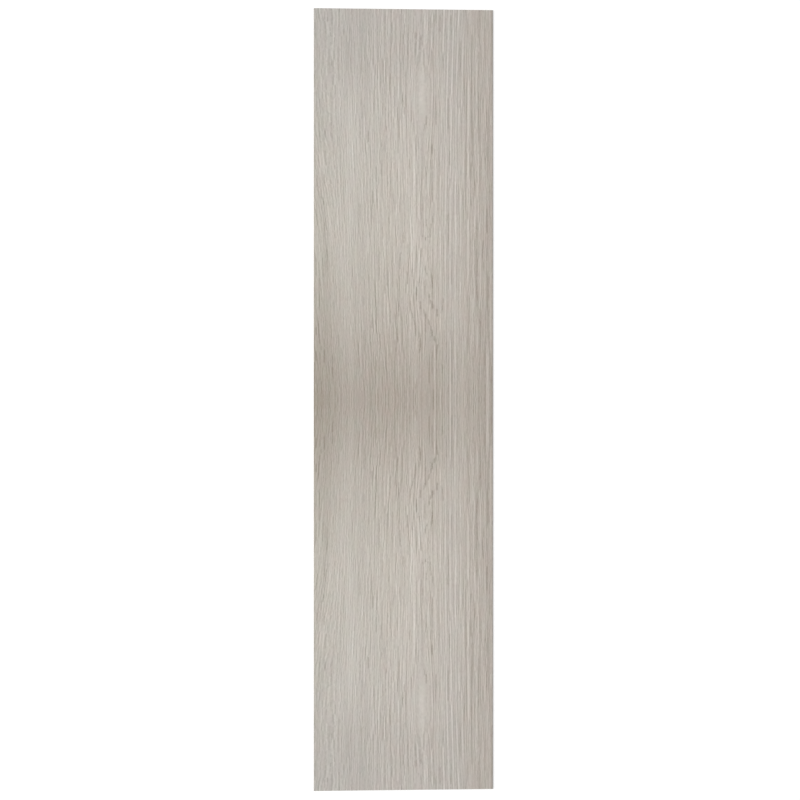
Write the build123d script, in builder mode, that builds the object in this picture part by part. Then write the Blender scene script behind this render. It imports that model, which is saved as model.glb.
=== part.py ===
from build123d import *
import os

# A self-adhesive vinyl floor plank: one laminated sheet, cut square to size.
# It lies flat with its adhesive back on Z = 0, its length along Y and its width along X.

# Driving dimensions, in millimetres
plank_length = 914.0
plank_width = 210.0
plank_thickness = 2.0
edge_ease = 0.3  # leg of the 45 degree ease round the printed face

with BuildPart() as vinyl_plank:
    with BuildSketch(Plane.XY):
        Rectangle(plank_width, plank_length)
    extrude(amount=plank_thickness)
    printed_face = vinyl_plank.faces().sort_by(Axis.Z)[-1]
    chamfer(printed_face.edges(), length=edge_ease)

vinyl_plank.part.label = "vinyl_plank"

os.makedirs("parts", exist_ok=True)
export_step(vinyl_plank.part, "parts/vinyl_plank.step")
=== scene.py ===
import math

import bpy
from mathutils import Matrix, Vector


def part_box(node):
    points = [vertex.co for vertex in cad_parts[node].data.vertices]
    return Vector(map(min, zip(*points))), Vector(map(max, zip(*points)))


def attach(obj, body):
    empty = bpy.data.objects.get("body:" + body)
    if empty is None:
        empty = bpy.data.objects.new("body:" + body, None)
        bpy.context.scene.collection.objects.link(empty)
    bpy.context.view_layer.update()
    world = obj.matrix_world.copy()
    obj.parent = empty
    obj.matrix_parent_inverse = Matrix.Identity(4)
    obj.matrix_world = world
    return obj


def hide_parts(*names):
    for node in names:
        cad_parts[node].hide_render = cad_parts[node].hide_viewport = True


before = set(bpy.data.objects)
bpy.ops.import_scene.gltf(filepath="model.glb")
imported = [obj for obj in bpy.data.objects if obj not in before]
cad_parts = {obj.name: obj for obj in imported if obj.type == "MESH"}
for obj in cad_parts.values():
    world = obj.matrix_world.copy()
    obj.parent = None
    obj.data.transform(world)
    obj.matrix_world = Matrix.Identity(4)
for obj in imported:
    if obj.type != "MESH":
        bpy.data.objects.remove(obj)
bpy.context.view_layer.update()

mm = 0.001
level = 1 / 255  # one step of an 8 bit picture, the unit of the print's tones
plankLow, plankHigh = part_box("vinyl_plank")
plankWidth = (plankHigh.x - plankLow.x) / mm
plankLength = (plankHigh.y - plankLow.y) / mm
plankMiddle = (plankLow + plankHigh) / 2


def toLinear(hexColour):
    channels = [int(hexColour[i:i + 2], 16) / 255 for i in (1, 3, 5)]
    linear = [c / 12.92 if c <= 0.04045 else ((c + 0.055) / 1.055) ** 2.4 for c in channels]
    return tuple(linear) + (1.0,)


# Values fill the node's open sockets in order, sockets go by name, and a curve or a ramp gets its points.
# A noise node's values are its place, scale, detail and roughness.
def addNode(tree, kind, *values, sockets=None, points=(), stops=(), **settings):
    node = tree.nodes.new(kind if "Node" in kind else "ShaderNode" + kind)
    for name, value in settings.items():
        setattr(node, name, value)
    given = list(zip([s for s in node.inputs if s.enabled], values))
    given += [(node.inputs[name], value) for name, value in (sockets or {}).items()]
    for socket, value in given:
        if isinstance(value, bpy.types.NodeSocket):
            tree.links.new(value, socket)
        elif value is not None:
            socket.default_value = value
    if points:
        curve = node.mapping.curves[0]
        curve.points[0].location, curve.points[1].location = points[0], points[-1]
        for x, y in points[1:-1]:
            curve.points.new(x, y)
        for point in curve.points:
            point.handle_type = "AUTO_CLAMPED"
        node.mapping.update()
    if stops:
        elements = node.color_ramp.elements
        elements.remove(elements[1])
        elements[0].position, elements[0].color = stops[0][0], toLinear(stops[0][1])
        for position, hexColour in stops[1:]:
            elements.new(position).color = toLinear(hexColour)
    return next((s for s in node.outputs if s.enabled), None)


def newMaterial(name):
    material = bpy.data.materials.new(name)
    material.use_nodes = True
    material.node_tree.nodes.clear()
    return material, material.node_tree


# The wood figure, in millimetres: "along" is measured from mid-length, because the print is mirrored there,
# and "across" from the plank's centreline. Tones are in steps of an 8 bit picture.
# A size is the width of a mark and its length, and a share says how far a value counts across the plank.
oakGrain = {
    "wave": (0.25, 45.0, 220.0),  # how far the grain wanders, and over what distance across and along
    # how far the grain lies aside towards the ends: it runs out at the left edge, slants left of the middle
    # and leans back right of the middle
    "runout": [(0, 0.0), (110, 0.0), (160, 2.0), (330, 12.0), (457, 14.0)],
    "runoutShare": [(-105, 1.0), (-92, 0.7), (-78, 0.15), (-70, 0.0), (105, 0.0)],
    "slant": [(0, 0.0), (90, 4.0), (220, 7.0), (340, 11.0), (457, 12.4)],
    "slantShare": [(-105, 1.1), (-70, 1.0), (-35, 0.95), (-20, 0.8), (-5, 0.55), (10, 0.3), (25, 0.08),
                   (35, 0.0), (105, 0.0)],
    "lean": [(0, 0.0), (235, 0.0), (290, 0.6), (330, 1.3), (388, 2.5), (457, 4.6)],
    "leanShare": [(-105, 0.0), (10, 0.0), (22, 0.7), (35, 1.0), (65, 1.0), (78, 0.5), (90, 0.0),
                  (105, 0.0)],
    # centre across and along, half width, half length, how far the grain is pushed aside
    # and how plain it is inside
    "eyes": [(24.0, 0.0, 8.0, 52.0, 0.5, 0.85), (23.0, 348.0, 11.0, 46.0, 0.6, 0.8),
             (25.0, 126.0, 11.0, 28.0, 0.5, 0.2)],
    # growth rings counted from the left edge: close on the left and wide on the right
    "rings": [(-105, 0.0), (-88, 2.8), (-50, 12.5), (-4, 20.8), (18, 23.9), (30, 25.6), (43, 27.45),
              (57, 29.85), (67, 31.5), (80, 32.9), (105, 35.0)],
    "ringRuns": [(0, 14), (8, 12), (17, 36), (25, 58), (30, 95), (35.6, 95)],  # length of each ring's lines
    "ringTone": 9.2,
    "ringShare": [(-105, 0.78), (-75, 0.7), (-30, 0.8), (0, 0.76), (20, 0.74), (32, 0.9), (42, 0.82),
                  (63, 0.87), (78, 1.14), (105, 1.14)],
    # how far the rings all turn out pale
    "ringKeep": [(-105, 0.0), (26, 0.0), (38, 1.0), (63, 1.0), (74, 0.0), (105, 0.0)],
    "fibreSize": (2.4, 16.5),
    "fibreTone": 12.4,
    "fibreShare": [(-105, 0.82), (-75, 0.85), (-30, 1.15), (20, 1.18), (38, 0.75), (52, 0.6), (80, 0.85),
                   (105, 0.95)],
    "threadSize": (2.9, 50.0),
    "threadTone": 8.6,
    "threadShare": [(-105, 0.6), (-75, 0.5), (-30, 0.9), (20, 1.35), (57, 1.3), (105, 1.4)],
    "poreSize": (0.9, 7.0),
    "poreTone": 16.0,
    "poreChance": (0.55, 0.95),  # luck up to the first leaves a pore out, and from the second makes it full
    "dashStretch": (0.7, 1.4),  # dashes to one run, which differ from row to row
    "dashTaper": 0.14,  # the share of a dash over which each of its ends fades
    # streaks and bands of early and late wood, and how strongly they show
    "streakSize": (4.6, 170.0),
    "streakTone": 6.0,
    "bandSize": (10.0, 120.0),
    "bandTone": 9.0,
    "contrast": [(-105, 1.1), (-75, 1.5), (-58, 1.6), (-40, 0.6), (0, 0.7), (22, 1.5), (45, 0.4),
                 (57, 0.15), (72, 0.4), (88, 1.3), (105, 1.2)],
    "gritSize": (1.1, 3.6),
    "gritTone": 9.0,
    "tickSize": (0.6, 6.0),
    "tickTone": 9.0,
    "poreBend": 0.0055,  # how much stronger dark marks are than pale ones, for each step of tone
    # lines that are drawn one by one: width, fade at the ends, the slivers in them and their strength
    "lineWidth": 1.4,
    "lineFade": 3.0,
    "dashSize": (1.0, 6.0),
    "lineTone": 0.9,
    "paleTone": 0.5,
    "tone": [(-105, 183.8), (-90, 188.2), (-78, 191.2), (-65, 193), (-45, 190.5), (-30, 191.8), (-10, 192),
             (0, 192.2), (10, 195.8), (25, 192.4), (36, 190.8), (52, 190.6), (66, 187.6), (80, 182.2),
             (92, 180.2), (105, 177)],
    # soft light and dark patches: centre across and along, half width, half length and tone
    "patches": [(-88, 140, 12, 42, -3.8), (7, 168, 8, 42, 3.8), (33, 100, 8, 28, 4.2),
                (-6, 65, 8, 35, -2.4), (-57, 65, 8, 26, -2.4), (71, 268, 8, 34, 3.4),
                (-95, 270, 9, 36, 5.0), (84, 142, 8, 36, 2.5), (22, 235, 11, 36, -2.2),
                (-6, 280, 8, 40, 3.4), (-32, 85, 7, 20, 2.4), (-97, 398, 7, 26, -3.2),
                (-83, 365, 7, 38, 2.8), (85, 300, 7, 50, 2.8), (-31, 245, 7, 26, 1.8)],
    # how far the print darkens towards mid-length and towards the ends, and how that fades across the plank
    "midShade": [(0, 25.8), (27, 22.3), (62, 15.6), (97, 9.3), (132, 5.3), (167, 2.0), (205, 0.0),
                 (457, 0.0)],
    "midShare": [(-105, 1.28), (-83, 1.15), (-70, 0.98), (20, 0.95), (33, 0.92), (46, 0.74), (58, 0.53),
                 (105, 0.3)],
    "endShade": [(0, 0.0), (290, 0.0), (350, 1.2), (413, 6.4), (457, 6.4)],
    "endShare": [(-105, 0.55), (-90, 0.7), (-80, 1.0), (-68, 1.45), (-45, 1.4), (-32, 1.12), (-6, 1.1),
                 (7, 1.25), (20, 1.1), (33, 0.87), (46, 0.77), (58, 0.52), (71, 0.3), (84, 0.0),
                 (105, 0.0)],
    # how far the ink goes from the grey one to the brown one, along the plank and across it
    "warmth": [(0, 0.79), (130, 0.67), (250, 0.585), (343, 0.46), (400, 0.39), (457, 0.27)],
    "warmthMiddle": 0.54,
    "warmthShare": [(-105, 1.6), (-85, 1.35), (-60, 1.1), (0, 1.05), (45, 0.85), (70, 0.65), (85, 0.4),
                    (105, 0.35)],
    "warmthAcross": [(-105, 0.51), (-65, 0.43), (-35, 0.50), (-15, 0.57), (15, 0.53), (35, 0.57),
                     (57, 0.41), (72, 0.56), (82, 0.60), (105, 0.61)],
    "warmthTrim": -0.04,
    # a faint green, or pink below zero, and how far one step of it changes the colour
    "green": [(-105, 1.3), (-92, 0.8), (-75, 0.5), (-50, 0.5), (-30, 0.45), (-10, 0.15), (10, 0.0),
              (50, -0.2), (66, 0.1), (78, -0.3), (105, -0.5)],
    "greenAlong": [(0, -0.9), (60, -0.4), (100, 0.0), (150, 0.5), (260, 0.5), (320, 0.2), (380, -0.2),
                   (457, -0.5)],
    "greenShare": [(-105, 1.0), (-40, 1.0), (0, 0.7), (30, 0.6), (50, 0.0), (105, 0.0)],
    "greenStep": 0.003,
    # uneven ink: the size of its patches, and how far they change the warmth and the green
    "tintSize": (13.0, 20.0),
    "warmTint": 0.62,
    "greenTint": 8.0,
    # two inks of the same lightness steps, one greyer and one browner
    "inkSteps": (140, 160, 180, 200, 220),
    "greyInk": ("#908b84", "#a49f98", "#b8b3ad", "#ccc7c1", "#e0dbd6"),
    "brownInk": ("#948a7c", "#a89e91", "#bcb2a6", "#d0c7bb", "#e4dbd0"),
    "roughness": (0.58, 0.44),  # in the pores and on the flats between them
    "bump": (0.4, 0.02),  # strength and depth of the finest relief
}

# The figure: pore lines that the print shows one by one, as (along, across, tone) points, and one line of
# painted shade along the right edge. A tone above zero is a dark line, one below zero is a pale streak.
figureLines = [
    # Left edge, where the grain runs out at a slant
    [(384, -102.6, 6), (374, -102, 14), (362, -100.2, 10), (350, -98.6, 14), (342, -97.8, 10)],
    [(342, -102, 14), (330, -100.2, 10), (320, -99, 10), (311, -98.3, 20), (303, -97.2, 16),
     (292, -95.8, 10)],
    [(317, -92.6, 14), (305, -92.6, 20)],
    [(289, -91.3, 18), (285, -91.2, 14), (275, -90.3, 10)],
    [(271, -89.1, 14), (258, -89.1, 14)],
    [(290, -104, 8), (272, -103, 12), (262, -101.6, 12), (250, -100.4, 14), (243, -98.8, 12),
     (236, -97, 14)],
    [(262, -92.6, 26), (258, -92.6, 26), (250, -91.4, 10), (242, -90.8, 8)],
    [(259, -97.4, 12), (250, -96.4, 12), (243, -95.4, 10)],
    [(235, -93.8, 26), (229, -93.2, 24)],
    [(226, -95.4, 12), (215, -94, 12), (206, -92.8, 22), (197, -92.5, 24), (188, -91.2, 12),
     (178, -90, 14), (170, -89.2, 30), (164, -89, 26), (152, -88.8, 10)],
    [(170, -102.6, 10), (160, -102.2, 18), (146, -102, 14)],
    [(164, -94.6, 10), (150, -93.2, 14), (143, -93, 10)],
    [(140, -98.5, 14), (122, -98.5, 18), (106, -98.5, 16)],
    [(97, -100, 10), (84, -99.4, 14), (76, -98.8, 24), (66, -97.6, 18), (58, -96, 14)],
    [(83, -102, 24), (77, -102, 22)],
    [(55, -102.2, 22), (47, -102.2, 20)],
    [(57, -92.8, 18), (52, -92.6, 20), (44, -92.8, 18)],
    [(52, -83, 16), (44, -82, 16)],
    [(36, -83.3, 20), (31, -83.3, 18)],
    [(449, -83.5, 22), (417, -83.4, 20)],
    [(320, -102.4, -8), (310, -101, -12), (300, -99.4, -10)],
    [(286, -97.6, -12), (266, -97.2, -14)],
    [(270, -104, -10), (252, -103, -12)],
    [(36, -92.7, -12), (14, -92.6, -10)],
    [(440, -82, -14), (410, -82.3, -10)],
    # Left of the middle
    [(244, -36.7, 16), (228, -36.7, 26), (210, -36.7, 20)],
    [(313, -41.3, 24), (302, -41.3, 28)],
    [(345, -46, 16), (332, -46, 16)],
    [(303, -25.6, 12), (290, -24.5, 16), (262, -24.8, 12)],
    [(345, -8.5, 10), (330, -7.3, 14), (315, -6.5, 14), (290, -6.4, 10)],
    [(390, -16.4, 12), (365, -16, 16), (345, -15.7, 10)],
    [(400, -21, 14), (365, -21, 12), (348, -21.2, 8)],
    [(271, -32, 22), (259, -32, 22), (250, -30.8, 14), (244, -30.7, 12)],
    [(243, -12.2, 16), (221, -12, 18)],
    [(228, -50.7, 16), (210, -50.7, 12)],
    [(206, -23.8, 14), (191, -23.8, 16)],
    [(179, -28.7, 16), (160, -28.3, 20), (141, -28.3, 18)],
    [(175, -19.5, 10), (155, -19, 14), (130, -18, 12), (118, -17.7, 10)],
    [(170, -4, 28), (154, -4, 26)],
    [(144, -4.8, 14), (120, -5, 16), (98, -5.4, 12)],
    [(142, -33.3, 12), (126, -32.8, 14), (112, -32, 24), (95, -32, 28), (85, -31.6, 18),
     (72, -30.6, 16), (63, -29.8, 14)],
    [(145, -21.4, 14), (126, -21.4, 16)],
    [(100, -36.7, 18), (85, -36.7, 20)],
    [(118, -45.9, 16), (111, -45.9, 14)],
    [(80, -46, 16), (70, -46, 20), (57, -46, 18)],
    [(118, -8.2, 10), (105, -8.4, 16), (90, -8, 12), (75, -7.3, 16), (68, -7.2, 10)],
    [(45, -31.8, 20), (34, -31.8, 22)],
    [(48, -52, 16), (38, -51.8, 12)],
    [(45, -23.7, 14), (33, -23.7, 12)],
    [(62, -8.6, 12), (50, -9.8, 12), (22, -9.6, 8)],
    [(190, -41.3, -22), (172, -41.3, -28)],
    [(174, -23.6, -20), (155, -23.6, -14)],
    [(132, -19.4, -12), (105, -18.8, -16), (80, -18, -14)],
    [(140, -22.6, -14), (103, -22.4, -10)],
    [(435, -41.3, -14), (402, -41.3, -12)],
    [(228, -8.3, -20), (212, -8.3, -16)],
    [(50, -5, -20), (22, -5, -12)],
    [(48, -22.5, -22), (30, -22.5, -16)],
    [(36, -42.3, -18), (25, -42.3, -20)],
    [(360, -17.8, -16), (341, -17.8, -14)],
    # The cathedral figure, with its loops
    [(359, -0.9, 10), (347, -0.2, 24), (343, 0.8, 24), (333, 1, 14)],
    [(364, 9, 8), (340, 9, 12), (334, 9.1, 26), (325, 9.1, 22), (320, 11.4, 18), (314, 12.2, 12)],
    [(309, 15, 22), (297, 15, 26), (284, 14.2, 10), (240, 13.8, 8)],
    [(428, 15.1, 16), (421, 15, 14), (414, 13.8, 16), (408, 13.7, 18), (390, 13.8, 8)],
    [(431, 18.8, 12), (424, 20.6, 16), (416, 22, 12), (409, 23.6, 12), (404, 24.3, 18), (394, 24.4, 14),
     (384, 24.4, 10)],
    [(408, 33.5, 12), (400, 33.6, 22), (386, 33.4, 12)],
    [(383, 30.4, 12), (368, 32, 14), (356, 31.5, 8), (342, 31.2, 8), (334, 30.2, 12), (330, 28.6, 10)],
    [(456, 38.2, 16), (442, 38.2, 14)],
    [(449, 43, 20), (432, 43, 22)],
    [(441, 33.6, 12), (428, 33.6, 12)],
    [(406, 46.5, 16), (389, 46.5, 20)],
    [(356, 38.2, 8), (345, 38.3, 22), (335, 38.3, 28), (323, 38.3, 26)],
    [(355, 34.8, 10), (332, 34.8, 14)],
    [(352, 52.4, 24), (335, 52.5, 24), (312, 52.6, 8)],
    [(332, 26.7, 18), (324, 26.7, 24), (321, 27, 20), (317, 28.2, 16)],
    [(321, 25.2, 16), (316, 23.8, 16)],
    [(297, 33.7, 30), (289, 33.7, 30)],
    [(276, 33.7, 12), (252, 33.7, 12), (243, 33.7, 22), (233, 33.7, 20)],
    [(292, 37.3, 16), (281, 37.2, 14)],
    [(278, 43.3, 14), (264, 43.3, 14)],
    [(266, 21.7, 14), (258, 21.7, 16)],
    [(278, 27, 14), (262, 27.2, 12)],
    [(280, 7, 14), (272, 7, 16)],
    [(212, 17.2, 16), (200, 17.2, 14), (190, 16.6, 14), (181, 15.6, 14), (173, 15.1, 24), (168, 15, 22),
     (158, 14.7, 12), (150, 14.7, 8)],
    [(214, 34.2, 24), (206, 34, 26), (203, 32.4, 20), (192, 31.6, 22)],
    [(210, 27, 20), (204, 26.8, 22)],
    [(191.5, 22.5, 18), (188.5, 25.4, 26)],
    [(188.5, 26, 24), (191, 28.8, 22)],
    [(227, 21.9, 18), (218, 21.6, 14), (205, 21.2, 10), (191, 21, 14)],
    [(177, 20.9, 18), (168, 20.9, 18)],
    [(216, 52.4, 26), (211, 52.4, 24), (200, 52.5, 10), (183, 52.5, 10)],
    [(195, -0.3, 16), (185, -0.2, 22)],
    [(181, 5.7, 16), (172, 6.2, 16), (164, 6.8, 14)],
    [(160, 5.7, 14), (148, 4.6, 22), (136, 4.5, 26)],
    [(151, 10.1, 22), (145, 10.2, 18), (138, 12.4, 14), (131, 12.6, 10)],
    [(157, 25.6, 22), (150, 25.6, 34), (147, 27.2, 24)],
    [(158, 33.8, 18), (146, 33.8, 26), (142, 33.8, 42), (133, 33.8, 42), (128, 33.8, 14),
     (116, 33.8, 12)],
    [(142, 19.2, 18), (136, 17.2, 24), (130, 15.6, 30), (125, 15.2, 40), (117, 15.3, 28)],
    [(140, 23.8, 16), (128, 24.6, 24), (121, 24.6, 14), (117, 23.6, 22)],
    [(122, 30.2, 28), (116, 30.8, 26), (113, 32, 20)],
    [(114, 33.6, 34), (108.5, 33.7, 46)],
    [(110, 34.8, 20), (106, 36.6, 20)],
    [(105, 39.4, 40), (99, 39.6, 46)],
    [(80, 33.6, 36), (75.5, 33.7, 40)],
    [(118, 46.6, 22), (105, 46, 22)],
    [(113, 19.8, 26), (107, 21, 24), (104, 23.2, 20), (97, 26, 20), (93, 28.8, 22), (87, 30.8, 24),
     (83, 32.4, 18), (78, 33.7, 26), (74, 35, 26), (69, 37.3, 34), (61, 39.8, 28), (54, 39.6, 14)],
    [(40, 45.4, 20), (33, 45.5, 22)],
    [(114, 8, 20), (108, 8.4, 20), (102, 9.4, 22), (97, 11.4, 26), (92, 12.9, 24), (84, 14, 30),
     (79, 14.1, 20)],
    [(79, 18.4, 18), (72, 19.4, 34), (66, 19.6, 38), (57, 19.6, 16)],
    [(56, 33.8, 16), (45, 33.8, 20), (31, 33.8, 16)],
    [(50, 30.5, 12), (20, 30.4, 14)],
    [(10, 35, 18), (0, 35, 18)],
    [(10, 11.2, 18), (0, 11.4, 18)],
    [(18, 13.9, 18), (14, 13.9, 18)],
    [(98, 25.6, 12), (70, 25.5, 10)],
    [(66, 50.2, 14), (44, 50.2, 12)],
    [(99, 43, -30), (81, 43, -26)],
    [(152, 43, -16), (104, 43, -14)],
    [(72, 15.2, -20), (60, 15.3, -14)],
    [(140, 14.7, -22), (134, 14.8, -16)],
    [(196, 43, -14), (162, 43, -14)],
    [(120, 48.6, -14), (84, 48.5, -14)],
    [(84, 6.6, -12), (30, 6.6, -8)],
    [(172, -2, -14), (150, -2, -12)],
    [(62, 12.7, -12), (22, 12.7, -10)],
    [(412, 47.6, -14), (362, 47.2, -16), (332, 46.5, -12)],
    [(256, 0.9, -18), (245, 0.9, -16)],
    [(438, 29, -14), (424, 29, -14)],
    [(372, 34, -12), (345, 34, -10)],
    [(396, 42.8, -12), (368, 42.7, -10)],
    [(290, 52.6, -14), (250, 52.5, -14)],
    # Right of the middle, straight and long
    [(457, 89.6, 16), (440, 89.7, 22), (433, 89.2, 12), (426, 88, 12)],
    [(407, 88.4, 14), (370, 88.4, 16), (345, 88.3, 22), (322, 88.3, 24), (300, 88.5, 6)],
    [(286, 91, 14), (258, 91, 14)],
    [(426, 80.4, 20), (412, 80.4, 16), (398, 80.4, 18), (380, 80.4, 18), (364, 80.5, 14),
     (345, 80.4, 8), (330, 80.4, 18), (318, 80.2, 14), (300, 80.5, 14), (286, 80.6, 12)],
    [(418, 66.4, 14), (406, 66.4, 22), (390, 66.3, 20), (375, 65.4, 12), (365, 65.4, 8)],
    [(402, 71.3, 12), (345, 71.2, 12)],
    [(456, 73, 12), (445, 75, 16), (425, 75.4, 10)],
    [(449, 56, 14), (440, 56.2, 14)],
    [(276, 79.2, 22), (258, 79.2, 20)],
    [(272, 83.2, 14), (260, 83.6, 18), (248, 83.9, 26), (236, 83.8, 10)],
    [(310, 94.2, 12), (296, 94.6, 14), (282, 95.4, 14)],
    [(296, 99.1, 16), (281, 99, 16)],
    [(290, 54.6, 18), (276, 54.6, 18)],
    [(258, 54.6, 14), (248, 54.5, 12)],
    [(300, 73.3, 10), (232, 73.2, 12), (206, 72.4, 12)],
    [(204, 85, 14), (192, 83.8, 20), (180, 83.8, 18), (165, 84.5, 20), (152, 84.2, 24), (140, 84.8, 22),
     (130, 86, 18), (121, 86.4, 14), (112, 87.6, 8), (105, 89, 18), (95, 89.2, 18), (88, 89.6, 24),
     (80, 89.6, 18), (70, 90, 10), (62, 88.9, 16), (45, 88.4, 14), (30, 87.6, 18), (18, 87.4, 14),
     (0, 88, 10)],
    [(223, 98, 18), (208, 98, 22), (197, 97.9, 18)],
    [(186, 94.2, 16), (175, 93.2, 20), (166, 93, 10)],
    [(160, 94.4, 16), (152, 94.4, 14)],
    [(143, 100.3, 16), (120, 100.4, 14)],
    [(80, 57, 12), (62, 57, 16), (56, 56.9, 24), (40, 57, 12), (28, 56.9, 20), (18, 57, 10)],
    [(182, 56.3, 10), (150, 56.3, 12), (136, 56.5, 18)],
    # painted shade: a dark line along the right edge, where the eased edge faces away from the key light
    [(457, 104.7, 40), (0, 104.7, 34)],
    [(411, 85.2, -26), (400, 85.3, -22), (345, 85.2, -18), (322, 85, -26), (314, 84, -12)],
    [(222, 87.6, -16), (190, 86.3, -20), (160, 86.6, -18), (137, 87, -14)],
    [(298, 91.3, -16), (282, 90.6, -12)],
    [(282, 88.7, -12), (242, 88.7, -14)],
    [(272, 80.7, -24), (240, 80.7, -20)],
    [(216, 61.9, -20), (204, 61.8, -32), (172, 61.7, -24)],
    [(150, 60.3, -12), (120, 60.4, -16), (84, 60.4, -18), (22, 60.4, -14)],
    [(211, 75.8, -18), (201, 75.8, -22)],
    [(210, 79.5, -16), (190, 79.4, -16)],
    [(137, 66.6, -18), (98, 66.5, -16)],
    [(122, 81.7, -12), (70, 81.7, -16)],
    [(268, 63, -20), (248, 63, -22)],
    [(256, 57.2, -20), (240, 57, -18)],
    [(376, 55.2, -14), (322, 55, -16)],
    [(341, 65.6, -18), (322, 65.5, -16)],
]

# The full heights of the curves: tones, shares, and how far the grain lies aside
toneMost, shareMost, asideMost = 255.0, 2.0, 20.0
greenMost, greenAlongMost = 2.0, 1.0  # these two reach as far below zero as above it
lineMost = 50.0  # and so do the drawn lines' tones


# Lines that don't overlap along the plank share a track, so one pair of curves draws many of them
def layTracks():
    fade, gap = oakGrain["lineFade"], 6.0
    tracks = []
    for line in sorted(sorted(points) for points in figureLines):
        track = next((t for t in tracks if t[-1][-1][0] + 2 * fade + gap < line[0][0]), None)
        if track is None:
            tracks.append([line])
        else:
            track.append(line)
    return tracks


# A curve from mid-length to the end, held level from its own ends and as deep as it is high
def trackCurve(tree, share, points, most):
    half = plankLength / 2
    drawn = [(a / half, value / (2 * most) + 0.5) for a, value in points if 0 <= a <= half]
    if drawn[0][0] > 0:
        drawn.insert(0, (0, drawn[0][1]))
    if drawn[-1][0] < 1:
        drawn.append((1, drawn[-1][1]))
    curve = addNode(tree, "FloatCurve", 1.0, share, points=drawn)
    return addNode(tree, "Math", curve, 2 * most, -most, operation="MULTIPLY_ADD")


# A track's curves give where its line lies across the plank and how dark it is, for each place along
def drawTrack(tree, across, alongShare, dashShare, track):
    fade = oakGrain["lineFade"]
    places, tones = [], []
    for line in track:
        (first, firstAcross, _), (last, lastAcross, _) = line[0], line[-1]
        places += [(first - fade, firstAcross)] + [(a, x) for a, x, _ in line] + [(last + fade, lastAcross)]
        strength = oakGrain["lineTone" if line[0][2] > 0 else "paleTone"]
        tones += [(first - fade, 0)] + [(a, strength * tone) for a, _, tone in line] + [(last + fade, 0)]
    lineAcross = trackCurve(tree, dashShare, places, plankWidth / 2)
    offset = addNode(tree, "Math", across, lineAcross, operation="SUBTRACT")
    away = addNode(tree, "Math", offset, operation="ABSOLUTE")
    near = addNode(tree, "MapRange", away, 0.0, oakGrain["lineWidth"], 1.0, 0.0,
                   interpolation_type="SMOOTHSTEP")
    dark = trackCurve(tree, alongShare, tones, lineMost)
    return addNode(tree, "Math", near, dark, operation="MULTIPLY")


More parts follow.
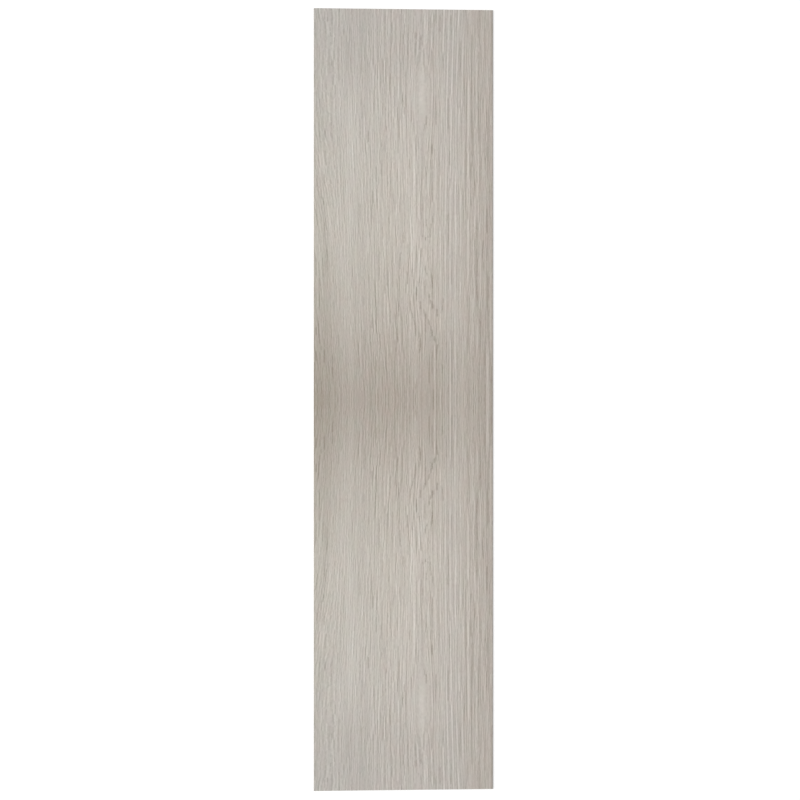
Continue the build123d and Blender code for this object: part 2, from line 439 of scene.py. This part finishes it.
# The same nodes go into the print's shader and into the emboss, so the relief lies on the printed grain
def growGrain(tree, place):
    apart = addNode(tree, "SeparateXYZ", place).node
    across = addNode(tree, "Math", apart.outputs["X"], 1 / mm, operation="MULTIPLY")
    endways = addNode(tree, "Math", apart.outputs["Y"], 1 / mm, operation="MULTIPLY")
    along = addNode(tree, "Math", endways, operation="ABSOLUTE")
    acrossShare = addNode(tree, "MapRange", across, -plankWidth / 2, plankWidth / 2)
    alongShare = addNode(tree, "MapRange", along, 0.0, plankLength / 2)

    def curveAcross(points, most, share=acrossShare):
        drawn = [(x / plankWidth + 0.5, value / most) for x, value in points]
        return addNode(tree, "FloatCurve", 1.0, share, points=drawn)

    def curveAlong(points, most):
        drawn = [(min(a / (plankLength / 2), 1.0), value / most) for a, value in points]
        return addNode(tree, "FloatCurve", 1.0, alongShare, points=drawn)

    # A soft oval spot, 1 at its centre
    def softSpot(sideways, centreAlong, halfWidth, halfLength):
        lengthways = addNode(tree, "Math", along, centreAlong, operation="SUBTRACT")
        spot = addNode(tree, "CombineXYZ", sideways, lengthways)
        spot = addNode(tree, "VectorMath", spot, (1 / halfWidth, 1 / halfLength, 0.0), operation="MULTIPLY")
        square = addNode(tree, "VectorMath", spot, spot, operation="DOT_PRODUCT")
        return addNode(tree, "Math", math.exp(-1), square, operation="POWER")

    # Grain coordinate: lies aside towards the ends, parts round the eyes and wanders a little
    flow = across
    for name, side in (("runout", 1), ("slant", 1), ("lean", -1)):
        aside = curveAlong(oakGrain[name], asideMost)
        share = curveAcross(oakGrain[name + "Share"], shareMost)
        aside = addNode(tree, "Math", aside, share, operation="MULTIPLY")
        flow = addNode(tree, "Math", aside, side * asideMost * shareMost, flow, operation="MULTIPLY_ADD")
    plain = 0.0
    for centreAcross, centreAlong, halfWidth, halfLength, push, calm in oakGrain["eyes"]:
        sideways = addNode(tree, "Math", across, centreAcross, operation="SUBTRACT")
        fall = softSpot(sideways, centreAlong, halfWidth, halfLength)
        pushed = addNode(tree, "Math", fall, -push, operation="MULTIPLY")
        flow = addNode(tree, "Math", pushed, sideways, flow, operation="MULTIPLY_ADD")
        plain = addNode(tree, "Math", fall, calm, plain, operation="MULTIPLY_ADD")
    reach, waveAcross, waveAlong = oakGrain["wave"]
    spot = addNode(tree, "CombineXYZ", across, along)
    spot = addNode(tree, "VectorMath", spot, (1 / waveAcross, 1 / waveAlong, 0.0), operation="MULTIPLY")
    wave = addNode(tree, "TexNoise", spot, 1.0, 1.0, 0.5, noise_dimensions="2D")
    wave = addNode(tree, "Math", wave, 0.5, operation="SUBTRACT")
    # the noise mostly keeps within a quarter of its middle
    flow = addNode(tree, "Math", wave, 4 * reach, flow, operation="MULTIPLY_ADD")
    grainPlace = addNode(tree, "CombineXYZ", flow, along)
    grown = addNode(tree, "Math", 1.0, plain, operation="SUBTRACT")

    # Streaks and bands of early and late wood, and a fine grit
    layers = {}
    for name, detail in (("streak", 3.0), ("band", 1.0), ("grit", 0.0)):
        width, length = oakGrain[name + "Size"]
        spot = addNode(tree, "VectorMath", grainPlace, (1 / width, 1 / length, 0.0), operation="MULTIPLY")
        noise = addNode(tree, "TexNoise", spot, 1.0, detail, 0.55, noise_dimensions="2D")
        layers[name] = addNode(tree, "Math", noise, 0.5, operation="SUBTRACT")

    # Rows of pores, each row broken into dashes of its own. Rings, fibres and threads are a dark line with
    # a pale one beside it, and single pores are dark only.
    ringMost = 100.0  # full height of the ring curves, in rings and in millimetres
    flowShare = addNode(tree, "MapRange", flow, -plankWidth / 2, plankWidth / 2)
    rings = curveAcross(oakGrain["rings"], ringMost, flowShare)
    rings = addNode(tree, "Math", rings, ringMost, operation="MULTIPLY")
    wholeRings = addNode(tree, "Math", rings, operation="FLOOR")
    ringCount = addNode(tree, "Math", wholeRings, 1 / ringMost, operation="MULTIPLY")
    drawn = [(count / ringMost, length / ringMost) for count, length in oakGrain["ringRuns"]]
    ringRun = addNode(tree, "FloatCurve", 1.0, ringCount, points=drawn)
    ringRun = addNode(tree, "Math", ringRun, ringMost, operation="MULTIPLY")
    families = [("ring", rings, ringRun)]
    # each kind counts its rows from a number of its own, so that no two draw the same luck
    for name, firstRow in (("fibre", 60.0), ("thread", 120.0), ("pore", 240.0)):
        width, length = oakGrain[name + "Size"]
        rows = addNode(tree, "Math", flow, 1 / width, firstRow, operation="MULTIPLY_ADD")
        families.append((name, rows, length))
    phaseSpread = 31.7  # how far apart, in dashes, two rows can start
    for name, rows, run in families:
        row = addNode(tree, "Math", rows, operation="FLOOR")
        luck = addNode(tree, "TexWhiteNoise", row, noise_dimensions="1D")
        stretch = addNode(tree, "MapRange", luck, 0.0, 1.0, *oakGrain["dashStretch"])
        runs = addNode(tree, "Math", along, run, operation="DIVIDE")
        runs = addNode(tree, "Math", runs, stretch, operation="MULTIPLY")
        runs = addNode(tree, "Math", luck, phaseSpread, runs, operation="MULTIPLY_ADD")
        dash = addNode(tree, "Math", runs, operation="FLOOR")
        spot = addNode(tree, "CombineXYZ", row, dash)
        chance = addNode(tree, "TexWhiteNoise", spot, noise_dimensions="2D")
        turn = addNode(tree, "Math", rows, 2 * math.pi, operation="MULTIPLY")
        if name == "ring":
            # from -1 to 1, or from 0.4 to 1.45 where the rings all turn out pale
            keep = curveAcross(oakGrain["ringKeep"], 1.0)
            least = addNode(tree, "Math", keep, 1.4, -1.0, operation="MULTIPLY_ADD")
            most = addNode(tree, "Math", keep, 0.45, 1.0, operation="MULTIPLY_ADD")
            signed = addNode(tree, "MapRange", chance, 0.0, 1.0, least, most)
            wide = addNode(tree, "Math", turn, operation="COSINE")
            twice = addNode(tree, "Math", turn, 2.0, operation="MULTIPLY")
            narrow = addNode(tree, "Math", twice, operation="COSINE")
            profile = addNode(tree, "Math", narrow, wide, operation="SUBTRACT")
        elif name == "pore":
            signed = addNode(tree, "MapRange", chance, *oakGrain["poreChance"], 0.0, -1.0)
            inRow = addNode(tree, "Math", rows, 0.5, operation="PINGPONG")
            # dark in the middle of the row, and clear of its sides
            profile = addNode(tree, "MapRange", inRow, 0.2, 0.45, 0.0, 1.0, interpolation_type="SMOOTHSTEP")
        else:
            signed = addNode(tree, "MapRange", chance, 0.0, 1.0, -1.0, 1.0)
            profile = addNode(tree, "Math", turn, operation="SINE")
        inDash = addNode(tree, "Math", runs, 0.5, operation="PINGPONG")
        taper = addNode(tree, "MapRange", inDash, 0.0, oakGrain["dashTaper"], 0.0, 1.0,
                        interpolation_type="SMOOTHSTEP")
        mark = addNode(tree, "Math", signed, taper, operation="MULTIPLY")
        mark = addNode(tree, "Math", mark, profile, operation="MULTIPLY")
        layers[name] = addNode(tree, "Math", mark, grown, operation="MULTIPLY")

    layers["patches"] = 0.0
    for centreAcross, centreAlong, halfWidth, halfLength, lift in oakGrain["patches"]:
        sideways = addNode(tree, "Math", across, centreAcross, operation="SUBTRACT")
        fall = softSpot(sideways, centreAlong, halfWidth, halfLength)
        layers["patches"] = addNode(tree, "Math", fall, lift, layers["patches"], operation="MULTIPLY_ADD")

    # Uneven ink: faint warmer, cooler, greener and pinker patches, from two depths of the same noise
    width, length = oakGrain["tintSize"]
    for name, depth in (("warmTint", 0.0), ("greenTint", 40.0)):
        spot = addNode(tree, "CombineXYZ", across, along, depth)
        spot = addNode(tree, "VectorMath", spot, (1 / width, 1 / length, 0.1), operation="MULTIPLY")
        noise = addNode(tree, "TexNoise", spot, 1.0, 1.0, 0.6, noise_dimensions="3D")
        layers[name] = addNode(tree, "Math", noise, 0.5, operation="SUBTRACT")

    # Lines that are drawn one by one: pores, and the painted shade along the right edge. Pores lie
    # straight, so a line is made of upright slivers, each in a lane of its own and placed where the line is
    # at the sliver's middle
    laneWidth, dashRun = oakGrain["dashSize"]
    lane = addNode(tree, "Math", flow, 1 / laneWidth, operation="MULTIPLY")
    lane = addNode(tree, "Math", lane, operation="FLOOR")
    shift = addNode(tree, "TexWhiteNoise", lane, noise_dimensions="1D")
    runs = addNode(tree, "Math", along, 1 / dashRun, shift, operation="MULTIPLY_ADD")
    dash = addNode(tree, "Math", runs, operation="FLOOR")
    middle = addNode(tree, "Math", dash, shift, operation="SUBTRACT")
    dashShare = addNode(tree, "MapRange", middle, -0.5, plankLength / 2 / dashRun - 0.5)
    total = 0.0
    for track in layTracks():
        line = drawTrack(tree, across, alongShare, dashShare, track)
        total = addNode(tree, "Math", total, line, operation="ADD")
    # the ink is stronger in some slivers than in others, and weaker at their ends
    spot = addNode(tree, "CombineXYZ", lane, dash)
    chance = addNode(tree, "TexWhiteNoise", spot, noise_dimensions="2D")
    ink = addNode(tree, "MapRange", chance, 0.0, 1.0, 0.75, 1.3)
    inDash = addNode(tree, "Math", runs, 0.5, operation="PINGPONG")
    taper = addNode(tree, "MapRange", inDash, 0.0, 0.12, 0.6, 1.0, interpolation_type="SMOOTHSTEP")
    ink = addNode(tree, "Math", ink, taper, operation="MULTIPLY")
    layers["figure"] = addNode(tree, "Math", total, ink, operation="MULTIPLY")

    for name in ("midShade", "endShade"):
        layers[name] = curveAlong(oakGrain[name], toneMost)
    for name in ("contrast", "midShare", "endShare", "warmthShare", "ringShare", "fibreShare",
                 "threadShare"):
        layers[name] = curveAcross(oakGrain[name], shareMost)
    for name in ("warmthAcross", "greenShare"):
        layers[name] = curveAcross(oakGrain[name], 1.0)
    layers["tone"] = curveAcross(oakGrain["tone"], toneMost)
    layers["warmth"] = curveAlong(oakGrain["warmth"], 1.0)
    lifted = [(x, value + greenMost) for x, value in oakGrain["green"]]
    layers["green"] = curveAcross(lifted, 2 * greenMost)
    lifted = [(a, value + greenAlongMost) for a, value in oakGrain["greenAlong"]]
    layers["greenAlong"] = curveAlong(lifted, 2 * greenAlongMost)
    return layers


# PVC film printed with pale oak under a matt clear wear layer, pressed with a grain-textured roll:
# soft greige wood print, a low satin sheen, and pores that catch the light as fine grooves
def printedVinylFilm():
    material, tree = newMaterial("embossedPrintedPvc")
    place = addNode(tree, "TexCoord").node.outputs["Object"]
    grain = growGrain(tree, place)
    tone = grain["tone"]
    for name in ("mid", "end"):
        shade = addNode(tree, "Math", grain[name + "Shade"], grain[name + "Share"], operation="MULTIPLY")
        tone = addNode(tree, "Math", shade, -shareMost, tone, operation="MULTIPLY_ADD")
    contrast = addNode(tree, "Math", grain["contrast"], shareMost, operation="MULTIPLY")
    streakTone, bandTone = oakGrain["streakTone"] * level, oakGrain["bandTone"] * level
    marks = addNode(tree, "Math", grain["streak"], streakTone, operation="MULTIPLY")
    marks = addNode(tree, "Math", grain["band"], bandTone, marks, operation="MULTIPLY_ADD")
    tone = addNode(tree, "Math", marks, contrast, tone, operation="MULTIPLY_ADD")
    tone = addNode(tree, "Math", grain["patches"], level, tone, operation="MULTIPLY_ADD")

    width, length = [size * mm for size in oakGrain["tickSize"]]
    spot = addNode(tree, "VectorMath", place, (1 / width, 1 / length, 1 / width), operation="MULTIPLY")
    tick = addNode(tree, "TexNoise", spot, 1.0, 1.0, 0.5, noise_dimensions="3D")
    pores = addNode(tree, "Math", tick, 0.5, operation="SUBTRACT")
    pores = addNode(tree, "Math", pores, oakGrain["tickTone"], operation="MULTIPLY")
    for name in ("grit", "pore"):
        pores = addNode(tree, "Math", grain[name], oakGrain[name + "Tone"], pores, operation="MULTIPLY_ADD")
    for name in ("ring", "fibre", "thread"):
        strength = shareMost * oakGrain[name + "Tone"]
        share = addNode(tree, "Math", grain[name + "Share"], strength, operation="MULTIPLY")
        pores = addNode(tree, "Math", grain[name], share, pores, operation="MULTIPLY_ADD")
    # Dark pores come out a little stronger than pale ones
    bend = addNode(tree, "Math", pores, -oakGrain["poreBend"], 1.0, operation="MULTIPLY_ADD")
    pores = addNode(tree, "Math", pores, bend, operation="MULTIPLY")
    # the drawn lines darken or lighten the print, and the right edge's dark line among them is painted
    # shade
    pores = addNode(tree, "Math", pores, grain["figure"], operation="SUBTRACT")
    tone = addNode(tree, "Math", pores, level, tone, operation="MULTIPLY_ADD")

    warmth = addNode(tree, "Math", grain["warmth"], -oakGrain["warmthMiddle"], operation="ADD")
    warmthShare = addNode(tree, "Math", grain["warmthShare"], shareMost, operation="MULTIPLY")
    warmth = addNode(tree, "Math", warmth, warmthShare, grain["warmthAcross"], operation="MULTIPLY_ADD")
    warmth = addNode(tree, "Math", grain["warmTint"], oakGrain["warmTint"], warmth,
                     operation="MULTIPLY_ADD")
    warmth = addNode(tree, "Math", warmth, oakGrain["warmthTrim"], operation="ADD")
    inks = []
    for name in ("greyInk", "brownInk"):
        stops = [(step / 255, ink) for step, ink in zip(oakGrain["inkSteps"], oakGrain[name])]
        inks.append(addNode(tree, "ValToRGB", tone, stops=stops))
    colour = addNode(tree, "Mix", warmth, *inks, data_type="RGBA")
    green = addNode(tree, "Math", grain["green"], 2 * greenMost, -greenMost, operation="MULTIPLY_ADD")
    greenAlong = addNode(tree, "Math", grain["greenAlong"], 2 * greenAlongMost, -greenAlongMost,
                         operation="MULTIPLY_ADD")
    green = addNode(tree, "Math", greenAlong, grain["greenShare"], green, operation="MULTIPLY_ADD")
    green = addNode(tree, "Math", grain["greenTint"], oakGrain["greenTint"], green,
                    operation="MULTIPLY_ADD")
    tint = addNode(tree, "CombineXYZ", green, green, green)
    step = oakGrain["greenStep"]
    colour = addNode(tree, "VectorMath", tint, (-step, step, 0.0), colour, operation="MULTIPLY_ADD")

    # The wear layer is matt: duller in the pressed pores, with a faint sheen on the flats between them
    sheen = addNode(tree, "MapRange", grain["fibre"], -0.5, 0.5, *oakGrain["roughness"])
    relief = addNode(tree, "Math", grain["pore"], 1.5, tick, operation="MULTIPLY_ADD")
    strength, depth = oakGrain["bump"]
    normal = addNode(tree, "Bump", strength, depth * mm, sockets={"Height": relief})
    shader = addNode(tree, "BsdfPrincipled",
                     sockets={"Base Color": colour, "Roughness": sheen, "IOR": 1.5, "Normal": normal})
    addNode(tree, "OutputMaterial", shader)
    return material


cutEdge = {
    "grainSize": 0.35,  # of the chalk in it, in millimetres
    "colours": [(0.3, "#948d83"), (0.55, "#a9a298"), (0.75, "#bcb6ac")],
    "dragSize": (0.6, 6.0),  # width and height of a drag mark
    "roughness": (0.55, 0.72),
    "bump": (0.3, 0.04),
}


# Chalk-filled PVC, sliced by a blade: grey-beige, speckled with filler, dull, with faint upright drag marks
def cutVinylCore():
    material, tree = newMaterial("bladeCutFilledPvc")
    place = addNode(tree, "TexCoord").node.outputs["Object"]
    grains = addNode(tree, "TexNoise", place, 1 / (cutEdge["grainSize"] * mm), 3.0, 0.6,
                     noise_dimensions="3D")
    colour = addNode(tree, "ValToRGB", grains, stops=cutEdge["colours"])
    width, height = [size * mm for size in cutEdge["dragSize"]]
    drag = addNode(tree, "VectorMath", place, (1 / width, 1 / width, 1 / height), operation="MULTIPLY")
    drag = addNode(tree, "TexNoise", drag, 1.0, 2.0, 0.5, noise_dimensions="3D")
    dull = addNode(tree, "MapRange", drag, 0.3, 0.7, *cutEdge["roughness"])
    strength, depth = cutEdge["bump"]
    normal = addNode(tree, "Bump", strength, depth * mm, sockets={"Height": drag})
    shader = addNode(tree, "BsdfPrincipled",
                     sockets={"Base Color": colour, "Roughness": dull, "IOR": 1.53, "Normal": normal})
    addNode(tree, "OutputMaterial", shader)
    return material


paperBack = {
    "cloudSize": 9.0,
    "colours": [(0.3, "#d8d2c3"), (0.5, "#ded9cb"), (0.7, "#e4dfd3")],
    "fibreSize": 1.2,
    "roughness": (0.34, 0.46),
    "bump": (0.15, 0.02),
}


# Glassine paper with a silicone coat over the adhesive: cream, cloudy with fibre and slightly glossy
def releasePaper():
    material, tree = newMaterial("siliconedReleasePaper")
    place = addNode(tree, "TexCoord").node.outputs["Object"]
    cloud = addNode(tree, "TexNoise", place, 1 / (paperBack["cloudSize"] * mm), 4.0, 0.65,
                    noise_dimensions="3D")
    colour = addNode(tree, "ValToRGB", cloud, stops=paperBack["colours"])
    fibre = addNode(tree, "TexNoise", place, 1 / (paperBack["fibreSize"] * mm), 3.0, 0.6,
                    noise_dimensions="3D")
    sheen = addNode(tree, "MapRange", fibre, 0.3, 0.7, *paperBack["roughness"])
    strength, depth = paperBack["bump"]
    normal = addNode(tree, "Bump", strength, depth * mm, sockets={"Height": fibre})
    shader = addNode(tree, "BsdfPrincipled",
                     sockets={"Base Color": colour, "Roughness": sheen, "IOR": 1.45, "Normal": normal})
    addNode(tree, "OutputMaterial", shader)
    return material


plank = {
    "cellsAcross": 288,
    "cellsAlong": 312,
    "edgeEase": 0.3,
    "embossDepth": 0.10,
    # how much of the emboss follows the streaks, the rings and the drawn lines
    "streakRelief": 1.6,
    "ringRelief": 0.2,
    "lineRelief": -0.03,
}


def buildPlank():
    bpy.ops.object.select_all(action="DESELECT")
    ease = plank["edgeEase"] * mm
    bpy.ops.mesh.primitive_grid_add(x_subdivisions=plank["cellsAcross"], y_subdivisions=plank["cellsAlong"],
                                    size=1, location=(plankMiddle.x, plankMiddle.y, plankHigh.z))
    piece = bpy.context.object
    piece.name = piece.data.name = "vinylPlank"
    faceWidth, faceLength = plankWidth * mm - 2 * ease, plankLength * mm - 2 * ease
    piece.scale = (faceWidth, faceLength, 1)
    bpy.ops.object.transform_apply(location=True, rotation=True, scale=True)
    bpy.ops.object.mode_set(mode="EDIT")
    bpy.ops.mesh.select_all(action="SELECT")
    bpy.ops.mesh.region_to_loop()  # the rim of the face
    bpy.ops.mesh.extrude_region_move(TRANSFORM_OT_translate={"value": (0, 0, -ease)})
    bpy.ops.transform.resize(value=(plankWidth * mm / faceWidth, plankLength * mm / faceLength, 1),
                             center_override=(plankMiddle.x, plankMiddle.y, 0))
    wall = plankLow.z + ease - plankHigh.z  # from the ease down to the back
    bpy.ops.mesh.extrude_region_move(TRANSFORM_OT_translate={"value": (0, 0, wall)})
    bpy.ops.mesh.edge_face_add()
    bpy.ops.mesh.poke()  # the flat back, as triangles that meet in its middle
    bpy.ops.mesh.select_all(action="SELECT")
    bpy.ops.mesh.normals_make_consistent(inside=False)
    bpy.ops.object.mode_set(mode="OBJECT")
    return piece


def embossPlank(piece):
    tree = bpy.data.node_groups.new("grainEmboss", "GeometryNodeTree")
    tree.interface.new_socket("Geometry", in_out="INPUT", socket_type="NodeSocketGeometry")
    tree.interface.new_socket("Geometry", in_out="OUTPUT", socket_type="NodeSocketGeometry")
    entry = addNode(tree, "NodeGroupInput")
    place = addNode(tree, "GeometryNodeInputPosition")
    grain = growGrain(tree, place)
    height = addNode(tree, "SeparateXYZ", place).node.outputs["Z"]
    onFace = addNode(tree, "Math", height, plankHigh.z - 0.05 * mm, operation="GREATER_THAN")
    relief = addNode(tree, "Math", grain["streak"], plank["streakRelief"], operation="MULTIPLY")
    relief = addNode(tree, "Math", grain["ring"], plank["ringRelief"], relief, operation="MULTIPLY_ADD")
    relief = addNode(tree, "Math", grain["figure"], plank["lineRelief"], relief, operation="MULTIPLY_ADD")
    drop = addNode(tree, "MapRange", relief, -0.5, 0.5, -plank["embossDepth"] * mm, 0.0)
    offset = addNode(tree, "CombineXYZ", 0.0, 0.0, drop)
    moved = addNode(tree, "GeometryNodeSetPosition", entry, onFace, None, offset)
    addNode(tree, "NodeGroupOutput", moved)
    modifier = piece.modifiers.new("grainEmboss", "NODES")
    modifier.node_group = tree
    bpy.ops.object.select_all(action="DESELECT")
    piece.select_set(True)
    bpy.context.view_layer.objects.active = piece
    bpy.ops.object.modifier_apply(modifier=modifier.name)
    bpy.ops.object.shade_smooth_by_angle(angle=math.radians(30))


# The printed side with its ease, the back, or one of the cut walls
def sideOf(face):
    if face.normal.z > 0.1:
        return "face"
    if face.normal.z < -0.9:
        return "back"
    return "sides" if abs(face.normal.x) > 0.5 else "ends"


# The printed face gets nearly all of the map, with its grain running up it, and the back and the cut
# edges get strips
def layBakeMap(piece):
    strips = {"face": (0.0, 0.92), "back": (0.93, 0.965), "sides": (0.972, 0.982), "ends": (0.988, 0.998)}
    gap = 0.001
    layer = piece.data.uv_layers.new(name="OFBake")
    for face in piece.data.polygons:
        side = sideOf(face)
        left, right = strips[side]
        # each of a pair of opposite walls has half of its strip
        if side in ("sides", "ends"):
            middle = (left + right) / 2
            first = face.normal.x + face.normal.y < 0
            left, right = (left, middle - gap) if first else (middle + gap, right)
        for loop in face.loop_indices:
            spot = piece.data.vertices[piece.data.loops[loop].vertex_index].co
            across = (spot.x - plankLow.x) / (plankHigh.x - plankLow.x)
            up = (spot.y - plankLow.y) / (plankHigh.y - plankLow.y)
            rise = (spot.z - plankLow.z) / (plankHigh.z - plankLow.z)
            reach = across if side in ("face", "back") else rise
            height = across if side == "ends" else up
            layer.data[loop].uv = (left + reach * (right - left), height)


piece = buildPlank()
print("plank cut:", len(piece.data.polygons), "faces")
embossPlank(piece)
print("grain pressed in")
for material in (printedVinylFilm(), cutVinylCore(), releasePaper()):
    piece.data.materials.append(material)
finishes = {"face": 0, "sides": 1, "ends": 1, "back": 2}
for face in piece.data.polygons:
    face.material_index = finishes[sideOf(face)]
layBakeMap(piece)
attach(piece, "root")
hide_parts("vinyl_plank")
print("finishes on")

studio = {
    "pictureSize": 800,  # pixels along each side
    "plankPixels": 782.2,  # the plank's length in the picture
    "plankCentre": (403.5, 399.55),  # its middle, in pixels from the top left corner
    "cameraLean": math.radians(3.1),  # the camera stands a little to the left, so that side looks longer
    "lens": 85.0,
    "sensor": 36.0,
    "fillLight": 0.5,
    "keyPower": 212.0,
    "keySize": 3.2,
    "keyPlace": (-4.0, 0.0, 4.0),
    "floorSize": 3.0,
    "floorDrop": 0.02,  # millimetres below the plank
    "floorColour": "#f0f0f0",
    "floorGlow": 0.3,  # as the camera sees it, on top of its own light
}


def setCamera():
    pixel = plankLength * mm / studio["plankPixels"]
    frameSide = pixel * studio["pictureSize"]
    height = frameSide / 2 * studio["lens"] / (studio["sensor"] / 2)
    half = studio["pictureSize"] / 2
    x = plankMiddle.x - (studio["plankCentre"][0] - half) * pixel
    y = plankMiddle.y + (studio["plankCentre"][1] - half) * pixel
    x -= height * math.tan(studio["cameraLean"])
    bpy.ops.object.camera_add(location=(x, y, plankHigh.z + height), rotation=(0, -studio["cameraLean"], 0))
    camera = bpy.context.object
    camera.data.lens, camera.data.sensor_width = studio["lens"], studio["sensor"]
    bpy.context.scene.camera = camera


# 1 where the background itself is seen: by the camera, in gloss or through glass
def seenDirectly(tree):
    path = addNode(tree, "LightPath").node
    seen = addNode(tree, "Math", path.outputs["Is Camera Ray"], path.outputs["Is Glossy Ray"],
                   operation="MAXIMUM")
    return addNode(tree, "Math", seen, path.outputs["Is Transmission Ray"], operation="MAXIMUM")


def setLights():
    bpy.ops.object.light_add(type="AREA", location=studio["keyPlace"])
    key = bpy.context.object
    key.data.shape, key.data.size, key.data.energy = "SQUARE", studio["keySize"], studio["keyPower"]
    key.rotation_euler = (-key.location).to_track_quat("-Z", "Y").to_euler()
    world = bpy.data.worlds.new("studio")
    bpy.context.scene.world = world
    world.use_nodes = True
    tree = world.node_tree
    tree.nodes.clear()
    strength = addNode(tree, "MapRange", seenDirectly(tree), 0.0, 1.0, studio["fillLight"], 1.0)
    light = addNode(tree, "Background", (1, 1, 1, 1), strength)
    addNode(tree, "OutputWorld", light)


def setFloor():
    bpy.ops.mesh.primitive_plane_add(size=studio["floorSize"],
                                     location=(0, 0, plankLow.z - studio["floorDrop"] * mm))
    floor = bpy.context.object
    floor.name = "floor"
    material, tree = newMaterial("paleStudioFloor")
    glowStrength = addNode(tree, "Math", seenDirectly(tree), studio["floorGlow"], operation="MULTIPLY")
    paint = addNode(tree, "BsdfDiffuse", toLinear(studio["floorColour"]))
    glow = addNode(tree, "Emission", (1, 1, 1, 1), glowStrength)
    both = addNode(tree, "AddShader", paint, glow)
    addNode(tree, "OutputMaterial", both)
    floor.data.materials.append(material)


setCamera()
setLights()
setFloor()
bpy.context.scene.view_settings.view_transform = "Standard"
print("studio set")
